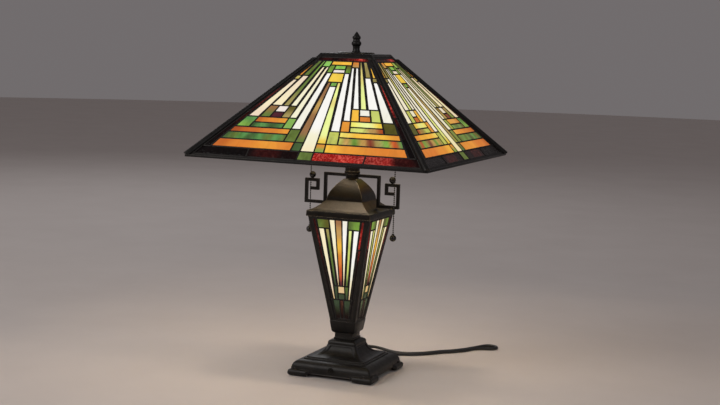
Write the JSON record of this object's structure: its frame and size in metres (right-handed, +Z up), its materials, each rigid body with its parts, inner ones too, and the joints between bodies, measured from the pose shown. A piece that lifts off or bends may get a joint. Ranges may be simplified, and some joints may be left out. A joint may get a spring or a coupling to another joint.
{
  "type": "stained glass table lamp",
  "caption": "Table lamp with a square leaded glass shade, a lit tapering glass column, scroll arms, two pull chains and a stepped square base.",
  "frame": {"origin": "middle of the base's underside, on the table", "axes": "+Z up through the column to the finial, -Y out of the front face with the turn switch, +X along the front to the right"},
  "size_m": [0.4146, 0.5171, 0.5719],
  "materials": {
    "dark_patina": "dark bronze patina, satin, slightly mottled",
    "bronze_patina": "rubbed bronze patina, semi-gloss",
    "brass": "plain, satin",
    "felt": "pressed felt",
    "steel_plate": "plain sheet",
    "black_plastic": "matt",
    "socket_shell": "glazed",
    "bulb_glass": "frosted, lit",
    "glass_white": "opalescent cathedral glass, lit from behind",
    "glass_green": "mottled opalescent glass",
    "glass_yellow": "streaky opalescent glass",
    "glass_amber": "wispy opalescent glass",
    "glass_brown": "wispy opalescent glass",
    "glass_red": "rippled glass",
    "cord_vinyl": "vinyl, satin"
  },
  "bodies": {
    "lamp": {"foot_pads": "felt", "base_casting": "dark_patina", "base_plate": "steel_plate", "base_tube": "brass", "tube_fasteners": "brass", "base_collar": "dark_patina", "switch_body": "black_plastic", "column_cup": "dark_patina", "column_frame": "dark_patina", "column_came_front": "dark_patina", "column_came_right": "dark_patina", "column_came_back": "dark_patina", "column_came_left": "dark_patina", "column_glass_white": "glass_white", "column_glass_green": "glass_green", "column_glass_yellow": "glass_yellow", "column_glass_amber": "glass_amber", "column_glass_red": "glass_red", "column_socket": "socket_shell", "column_bulb": "bulb_glass", "column_cap": "bronze_patina", "neck_coupling": "bronze_patina", "scroll_arm_left": "dark_patina", "scroll_arm_right": "dark_patina", "scroll_balls": "dark_patina", "cluster_cup": "bronze_patina", "upper_tube": "brass", "socket_arms": "brass", "socket_left": "brass", "socket_right": "brass", "bulb_left": "bulb_glass", "bulb_right": "bulb_glass", "shade_seat": "brass", "cord_gland": "cord_vinyl", "power_cord": "cord_vinyl", "cord_coil": "cord_vinyl", "cord_tail": "cord_vinyl", "plug_body": "cord_vinyl", "plug_prongs": "brass"},
    "shade": {"shade_came_front": "dark_patina", "shade_came_right": "dark_patina", "shade_came_back": "dark_patina", "shade_came_left": "dark_patina", "shade_ridges": "dark_patina", "shade_rim": "dark_patina", "shade_top_plate": "dark_patina", "shade_cap": "bronze_patina", "shade_glass_white": "glass_white", "shade_glass_green": "glass_green", "shade_glass_yellow": "glass_yellow", "shade_glass_amber": "glass_amber", "shade_glass_brown": "glass_brown", "shade_glass_red": "glass_red"},
    "finial": {"finial": "dark_patina"},
    "switch": {"switch_knob": "dark_patina"},
    "pull_left": {"pull_link_left": "brass"},
    "pull_right": {"pull_link_right": "brass"},
    "chain_left": {"pull_chain_left": "dark_patina"},
    "chain_right": {"pull_chain_right": "dark_patina"}
  },
  "joints": [
    {"name": "shade_turn", "type": "hinge", "parent": "lamp", "child": "shade", "pos_m": [0, 0, 0.5316], "axis": [0, 0, 1], "continuous": true},
    {"name": "finial_turn", "type": "hinge", "parent": "lamp", "child": "finial", "pos_m": [0, 0, 0.5383], "axis": [0, 0, 1], "continuous": true},
    {"name": "switch_turn", "type": "hinge", "parent": "lamp", "child": "switch", "pos_m": [0, -0.0711, 0.0165], "axis": [0, -1, 0], "continuous": true},
    {"name": "pull_left_slide", "type": "slide", "parent": "lamp", "child": "pull_left", "axis": [0, 0, -1], "range_m": [0, 0.008], "stiffness_N_per_m": 800, "springref_m": -0.001},
    {"name": "pull_right_slide", "type": "slide", "parent": "lamp", "child": "pull_right", "axis": [0, 0, -1], "range_m": [0, 0.008], "stiffness_N_per_m": 800, "springref_m": -0.001},
    {"name": "chain_left_swing", "type": "hinge", "parent": "pull_left", "child": "chain_left", "pos_m": [-0.0806, 0.012, 0.3836], "axis": [0, 1, 0], "range_deg": [-7, 20]},
    {"name": "chain_right_swing", "type": "hinge", "parent": "pull_right", "child": "chain_right", "pos_m": [0.0806, -0.012, 0.3836], "axis": [0, -1, 0], "range_deg": [-7, 20]}
  ]
}
